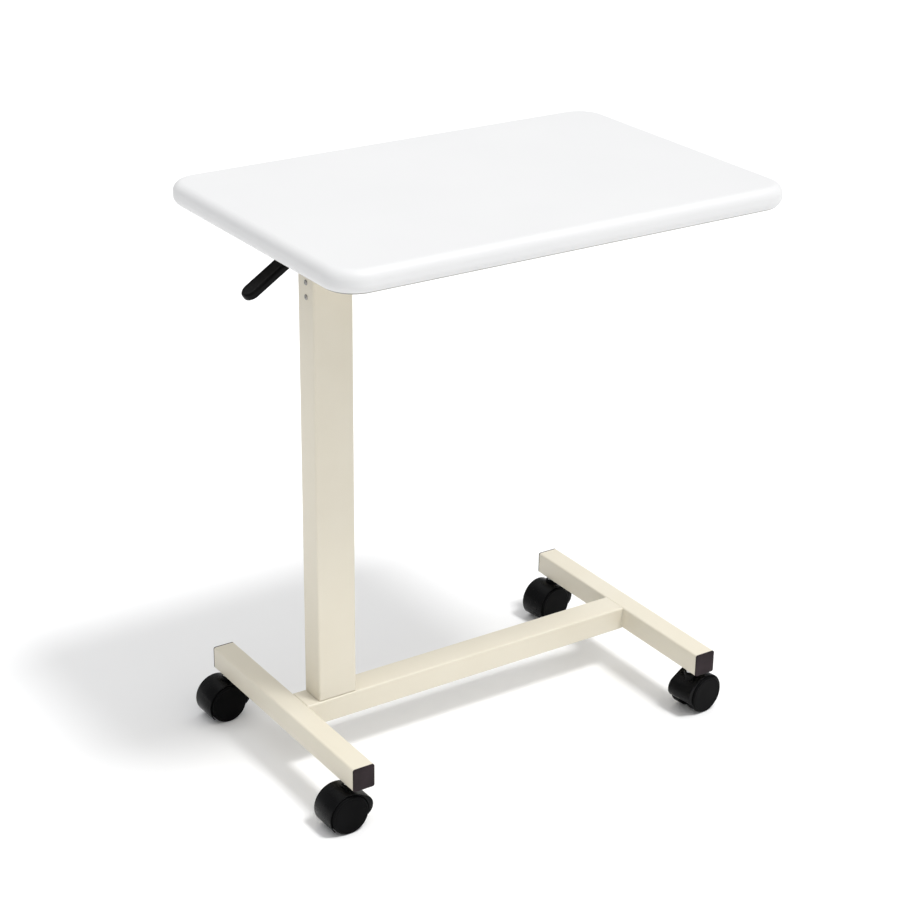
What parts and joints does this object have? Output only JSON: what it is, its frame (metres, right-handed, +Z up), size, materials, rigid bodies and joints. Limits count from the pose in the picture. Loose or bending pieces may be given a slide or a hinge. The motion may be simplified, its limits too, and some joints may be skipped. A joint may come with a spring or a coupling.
{
  "type": "overbed table",
  "caption": "Height-adjustable overbed table: a rounded board on a gas-spring column that stands at one end of an H-shaped base with swivel casters",
  "frame": {"origin": "on the floor, below the middle of the board, column lowered", "axes": "+Z up, +X along the board away from the column, +Y to the back, so the lever end is -X"},
  "size_m": [0.6, 0.4, 0.686],
  "materials": {
    "board": "white laminate, soft satin",
    "frame_paint": "ivory powder coat, satin, fine orange peel",
    "cap_plastic": "dark charcoal moulded plastic, matt",
    "bush_plastic": "black moulded plastic",
    "inner_steel": "ivory powder coat, polished by sliding",
    "lever_plastic": "black moulded plastic, fine texture",
    "lever_steel": "black painted steel",
    "cylinder_paint": "black painted steel tube",
    "hood_plastic": "black nylon, semi-gloss",
    "wheel_plastic": "black nylon wheel, matt tread",
    "hardware_steel": "zinc-plated steel"
  },
  "bodies": {
    "base": {"outer_column": "frame_paint", "upper_guide_bush": "bush_plastic", "guide_screws": "hardware_steel", "gas_spring_cylinder": "cylinder_paint", "column_foot_plate": "hardware_steel", "column_bolts": "hardware_steel", "cross_beam": "frame_paint", "left_foot": "frame_paint", "right_foot": "frame_paint", "end_cap_left_front": "cap_plastic", "end_cap_left_back": "cap_plastic", "end_cap_right_front": "cap_plastic", "end_cap_right_back": "cap_plastic", "stem_inserts": "hardware_steel", "caster_stem_fl": "hardware_steel", "caster_stem_bl": "hardware_steel", "caster_stem_fr": "hardware_steel", "caster_stem_br": "hardware_steel"},
    "top": {"tabletop": "board", "rail_front": "frame_paint", "rail_back": "frame_paint", "mounting_plate": "frame_paint", "panel_screws": "hardware_steel", "inner_column": "inner_steel", "lower_guide_bush": "bush_plastic", "gas_spring_rod": "hardware_steel", "rod_lock_nut": "hardware_steel", "release_head": "hardware_steel", "lever_pivot_pin": "hardware_steel"},
    "lever": {"lever_arm": "lever_steel", "lever_grip": "lever_plastic"},
    "valve": {"release_pin": "hardware_steel"},
    "swivel_fl": {"caster_hood_fl": "hood_plastic", "caster_axle_fl": "hardware_steel"},
    "spin_fl_near": {"wheel_fl_near": "wheel_plastic"},
    "spin_fl_far": {"wheel_fl_far": "wheel_plastic"},
    "swivel_bl": {"caster_hood_bl": "hood_plastic", "caster_axle_bl": "hardware_steel"},
    "spin_bl_near": {"wheel_bl_near": "wheel_plastic"},
    "spin_bl_far": {"wheel_bl_far": "wheel_plastic"},
    "swivel_fr": {"caster_hood_fr": "hood_plastic", "caster_axle_fr": "hardware_steel"},
    "spin_fr_near": {"wheel_fr_near": "wheel_plastic"},
    "spin_fr_far": {"wheel_fr_far": "wheel_plastic"},
    "swivel_br": {"caster_hood_br": "hood_plastic", "caster_axle_br": "hardware_steel"},
    "spin_br_near": {"wheel_br_near": "wheel_plastic"},
    "spin_br_far": {"wheel_br_far": "wheel_plastic"}
  },
  "joints": [
    {"name": "column_lift", "type": "slide", "parent": "base", "child": "top", "axis": [0, 0, 1], "range_m": [0, 0.28]},
    {"name": "release_lever", "type": "hinge", "parent": "top", "child": "lever", "pos_m": [-0.215, 0, 0.634], "axis": [0, 1, 0], "range_deg": [0, 10], "stiffness_Nm_per_rad": 0.6, "springref_deg": -5.73},
    {"name": "release_valve", "type": "slide", "parent": "top", "child": "valve", "axis": [0, 0, -1], "range_m": [0, 0.0026]},
    {"name": "caster_swivel_fl", "type": "hinge", "parent": "base", "child": "swivel_fl", "pos_m": [-0.2625, -0.144, 0.045], "axis": [0, 0, 1], "continuous": true},
    {"name": "wheel_spin_fl_near", "type": "hinge", "parent": "swivel_fl", "child": "spin_fl_near", "pos_m": [-0.27229, -0.15617, 0.024], "axis": [-0.0175, 0.9998, 0], "continuous": true},
    {"name": "wheel_spin_fl_far", "type": "hinge", "parent": "swivel_fl", "child": "spin_fl_far", "pos_m": [-0.27271, -0.13218, 0.024], "axis": [-0.0175, 0.9998, 0], "continuous": true},
    {"name": "caster_swivel_bl", "type": "hinge", "parent": "base", "child": "swivel_bl", "pos_m": [-0.2625, 0.149, 0.045], "axis": [0, 0, 1], "continuous": true},
    {"name": "wheel_spin_bl_near", "type": "hinge", "parent": "swivel_bl", "child": "spin_bl_near", "pos_m": [-0.27208, 0.13666, 0.024], "axis": [-0.0349, 0.9994, 0], "continuous": true},
    {"name": "wheel_spin_bl_far", "type": "hinge", "parent": "swivel_bl", "child": "spin_bl_far", "pos_m": [-0.27291, 0.16064, 0.024], "axis": [-0.0349, 0.9994, 0], "continuous": true},
    {"name": "caster_swivel_fr", "type": "hinge", "parent": "base", "child": "swivel_fr", "pos_m": [0.231, -0.149, 0.045], "axis": [0, 0, 1], "continuous": true},
    {"name": "wheel_spin_fr_near", "type": "hinge", "parent": "swivel_fr", "child": "spin_fr_near", "pos_m": [0.23923, -0.13573, 0.024], "axis": [0.1392, -0.9903, 0], "continuous": true},
    {"name": "wheel_spin_fr_far", "type": "hinge", "parent": "swivel_fr", "child": "spin_fr_far", "pos_m": [0.24257, -0.15949, 0.024], "axis": [0.1392, -0.9903, 0], "continuous": true},
    {"name": "caster_swivel_br", "type": "hinge", "parent": "base", "child": "swivel_br", "pos_m": [0.231, 0.149, 0.045], "axis": [0, 0, 1], "continuous": true},
    {"name": "wheel_spin_br_near", "type": "hinge", "parent": "swivel_br", "child": "spin_br_near", "pos_m": [0.22277, 0.13573, 0.024], "axis": [-0.1392, 0.9903, 0], "continuous": true},
    {"name": "wheel_spin_br_far", "type": "hinge", "parent": "swivel_br", "child": "spin_br_far", "pos_m": [0.21943, 0.15949, 0.024], "axis": [-0.1392, 0.9903, 0], "continuous": true}
  ],
  "couplings": [
    {"joint": "release_valve", "follows": "release_lever", "m_per_rad": 0.0145}
  ]
}
